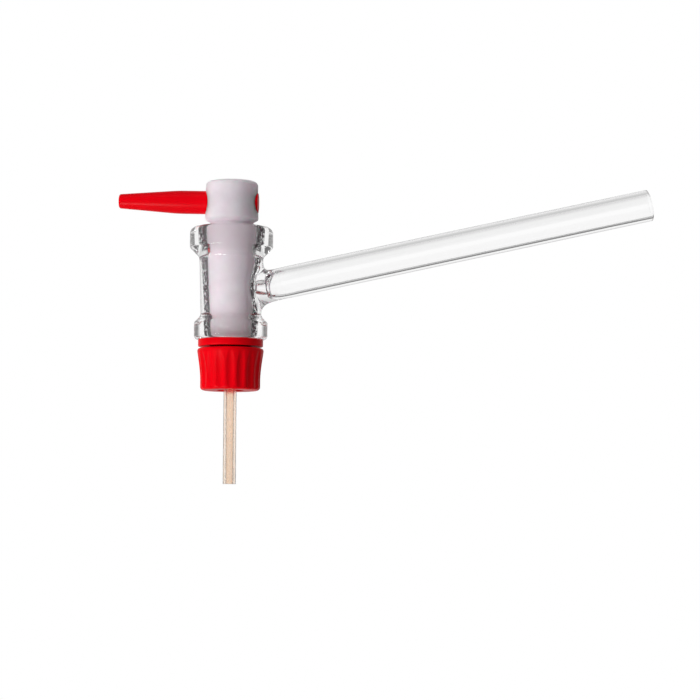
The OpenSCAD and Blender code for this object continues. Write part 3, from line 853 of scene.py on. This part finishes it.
def addCamera():
    s = cameraSet
    aside, turn, pitch, roll = (math.radians(s[k]) for k in ("aside", "turn", "pitch", "roll"))
    flat, level = Vector((math.sin(turn), math.cos(turn), 0)), Vector((math.cos(turn), -math.sin(turn), 0))
    ahead = flat * math.cos(pitch) + Vector((0, 0, 1)) * math.sin(pitch)
    above = Vector((0, 0, 1)) * math.cos(pitch) - flat * math.sin(pitch)
    right = level * math.cos(roll) + above * math.sin(roll)
    up = above * math.cos(roll) - level * math.sin(roll)
    place = Vector((s["away"] * math.sin(aside), -s["away"] * math.cos(aside), s["height"])) * mm
    bpy.ops.object.camera_add()
    camera = bpy.context.object
    camera.data.lens, camera.data.sensor_width = s["lens"], 36
    camera.data.clip_start, camera.data.clip_end = 0.01, 100
    camera.matrix_world = Matrix.Translation(place) @ Matrix((right, up, -ahead)).transposed().to_4x4()
    bpy.context.scene.camera = camera


deselectAll()
addCamera()

# how far down in mm, its size and where it fades in metres
floorSet = {"down": 400, "size": 24, "color": "#F2F2F2", "lift": 0.45, "fadeFrom": 0.35, "fadeTo": 0.9}


def addFloor():
    # a wide pale floor that fades to plain white, so no horizon shows and only the shadow is left
    s = floorSet
    bpy.ops.mesh.primitive_plane_add(size=s["size"], location=(0, 0, -s["down"] * mm))
    floor = startPiece("floor")
    bpy.ops.object.transform_apply(location=True)
    material, tree = newMaterial("paleFloor")
    place = addNode(tree, "ShaderNodeTexCoord")
    away = addNode(tree, "ShaderNodeVectorMath", {}, {0: (place, "Object")}, operation="LENGTH")
    fade = addNode(tree, "ShaderNodeMapRange", {"From Min": s["fadeFrom"], "From Max": s["fadeTo"]},
        {"Value": (away, "Value")})
    pale = addNode(tree, "ShaderNodeBsdfDiffuse", {"Color": linear(s["color"])})
    white = addNode(tree, "ShaderNodeEmission", {"Color": linear("#FFFFFF"), "Strength": 1.0})
    lift = addNode(tree, "ShaderNodeEmission", {"Color": linear("#FFFFFF"), "Strength": s["lift"]})
    lit = addNode(tree, "ShaderNodeAddShader", {}, {0: (pale, 0), 1: (lift, 0)})
    faded = addNode(tree, "ShaderNodeMixShader", {}, {0: (fade, 0), 1: (lit, 0), 2: (white, 0)})
    ray = addNode(tree, "ShaderNodeLightPath")
    seen = addNode(tree, "ShaderNodeMixShader", {}, {0: (ray, "Is Camera Ray"), 1: (pale, 0), 2: (faded, 0)})
    under = addNode(tree, "ShaderNodeNewGeometry")  # open from below, so the object can be seen from under it
    none = addNode(tree, "ShaderNodeBsdfTransparent")
    seen = addNode(tree, "ShaderNodeMixShader", {}, {0: (under, "Backfacing"), 1: (seen, 0), 2: (none, 0)})
    addNode(tree, "ShaderNodeOutputMaterial", {}, {"Surface": (seen, 0)})
    floor.data.materials.append(material)
    floor.visible_transmission = False
    floor.visible_glossy = False


addFloor()

# The sweep, before and room lists go from straight down (-1) to straight up (1), with the brightness there
worldSet = {
    "sweep": [(-1.0, 0.85), (-0.78, 0.66), (-0.64, 0.26), (-0.46, 0.08), (-0.36, 1.0), (0.15, 1.0), (0.4, 0.84),
              (0.78, 0.62), (1.0, 0.6)],
    "before": [(-1.0, 0.16), (-0.46, 0.12), (-0.36, 1.0), (0.15, 1.0), (1.0, 0.8)],
    "room": [(-1.0, 0.24), (-0.3, 0.2), (0.0, 0.175), (0.5, 0.17), (1.0, 0.2)],
    "roomTint": (1.0, 0.93, 0.95), "beforeTo": (-0.4, -0.15), "side": 0.2, "across": (0.68, 0.8),
    "behind": 0.35, "behindFrom": (0.25, 0.95), "throughGlass": 0.8}


def addWorld():
    # Plain white to the camera. The glass bends the view on to a studio: a white sweep that greys
    # upwards, grey sides behind it and darker ground, which draw its edges
    s = worldSet
    world = bpy.data.worlds.new("studio")
    bpy.context.scene.world = world
    world.use_nodes = True
    tree = world.node_tree
    tree.nodes.clear()
    place = addNode(tree, "ShaderNodeTexCoord")
    unit = addNode(tree, "ShaderNodeVectorMath", {}, {0: (place, "Generated")}, operation="NORMALIZE")
    part = addNode(tree, "ShaderNodeSeparateXYZ", {}, {0: (unit, 0)})
    height = addNode(tree, "ShaderNodeMapRange", {"From Min": -1.0, "From Max": 1.0}, {"Value": (part, "Z")})
    sweep, before, room = (addNode(tree, "ShaderNodeValToRGB", {}, {"Fac": (height, 0)}) for _ in range(3))
    for ramp, name in ((sweep, "sweep"), (before, "before"), (room, "room")):
        setRamp(ramp, [((z + 1) / 2, (level, level, level, 1)) for z, level in s[name]])

    # what the glass bends into view: the sweep, darker towards the camera's side, and grey sides
    back = addNode(tree, "ShaderNodeMapRange", {
        "From Min": s["beforeTo"][0], "From Max": s["beforeTo"][1]}, {"Value": (part, "Y")})
    sweep = addNode(tree, "ShaderNodeMix", {}, {0: (back, 0), 6: (before, 0), 7: (sweep, 0)}, data_type="RGBA")
    aside = addNode(tree, "ShaderNodeMath", {}, {0: (part, "X")}, operation="ABSOLUTE")
    aside = addNode(tree, "ShaderNodeMapRange", {
        "From Min": s["across"][0], "From Max": s["across"][1]}, {"Value": (aside, 0)})
    aside = addNode(tree, "ShaderNodeMath", {}, {0: (aside, 0), 1: (back, 0)}, operation="MULTIPLY")
    side = addNode(tree, "ShaderNodeBackground", {"Color": linear("#FFFFFF"), "Strength": s["side"]})
    front = addNode(tree, "ShaderNodeBackground", {"Strength": 1.0}, {"Color": (sweep, 2)})
    bent = addNode(tree, "ShaderNodeMixShader", {}, {0: (aside, 0), 1: (front, 0), 2: (side, 0)})

    # what lights the surfaces: the room, brighter behind the object and for what stands in the glass
    ray = addNode(tree, "ShaderNodeLightPath")
    tinted = addNode(tree, "ShaderNodeVectorMath", {1: s["roomTint"]}, {0: (room, 0)}, operation="MULTIPLY")
    behind = addNode(tree, "ShaderNodeMapRange", {
        "From Min": s["behindFrom"][0], "From Max": s["behindFrom"][1], "To Max": s["behind"]},
        {"Value": (part, "Y")})
    tinted = addNode(tree, "ShaderNodeVectorMath", {}, {0: (tinted, 0), 1: (behind, 0)}, operation="ADD")
    inGlass = addNode(tree, "ShaderNodeMath", {1: 0.5}, {0: (ray, "Transmission Depth")},
        operation="GREATER_THAN")
    gain = addNode(tree, "ShaderNodeMath", {1: s["throughGlass"], 2: 1.0}, {0: (inGlass, 0)},
        operation="MULTIPLY_ADD")
    plain = addNode(tree, "ShaderNodeBackground", {}, {"Color": (tinted, 0), "Strength": (gain, 0)})

    # a ray that has left a dull surface is light; one that has only passed or turned in glass is view
    fresh = addNode(tree, "ShaderNodeMath", {1: 0.5}, {0: (ray, "Diffuse Depth")}, operation="LESS_THAN")
    turnedBack = addNode(tree, "ShaderNodeMath", {}, {0: (ray, "Is Glossy Ray"), 1: (inGlass, 0)},
        operation="MULTIPLY")
    view = addNode(tree, "ShaderNodeMath", {}, {0: (ray, "Is Transmission Ray"), 1: (turnedBack, 0)},
        operation="MAXIMUM")
    view = addNode(tree, "ShaderNodeMath", {}, {0: (view, 0), 1: (fresh, 0)}, operation="MULTIPLY")
    through = addNode(tree, "ShaderNodeMixShader", {}, {0: (view, 0), 1: (plain, 0), 2: (bent, 0)})
    white = addNode(tree, "ShaderNodeBackground", {"Color": linear("#FFFFFF"), "Strength": 1.0})
    seen = addNode(tree, "ShaderNodeMixShader", {}, {0: (ray, "Is Camera Ray"), 1: (through, 0), 2: (white, 0)})
    addNode(tree, "ShaderNodeOutputWorld", {}, {"Surface": (seen, 0)})


addWorld()

# places and sizes in metres; a glint lamp shows only as a reflection, the others only light
lampSet = {
    "softLamp": {"place": (-0.6, -0.45, -0.2), "size": (0.4, 0.4), "power": 4.1, "glint": False},
    "stripLamp": {"place": (-0.34, -0.34, -0.29), "size": (0.44, 0.05), "power": 1.5, "glint": True},
    "topLamp": {"place": (-0.15, -0.3, 0.8), "size": (0.4, 0.4), "power": 2.4, "glint": False}}


def addLamps():
    aim = Vector((0, 0, 0.055))  # low in the barrel
    for name, s in lampSet.items():
        bpy.ops.object.light_add(type="AREA", location=s["place"])
        lamp = bpy.context.object
        lamp.name = name
        lamp.data.shape, lamp.data.energy = "RECTANGLE", s["power"]
        lamp.data.size, lamp.data.size_y = s["size"]
        lamp.visible_transmission = False  # its light already reaches the key through the glass
        lamp.visible_glossy, lamp.visible_diffuse = s["glint"], not s["glint"]
        lamp.rotation_euler = (aim - Vector(s["place"])).to_track_quat("-Z", "Y").to_euler()


addLamps()
bpy.context.scene.view_settings.view_transform = "Standard"

print("scene ready")
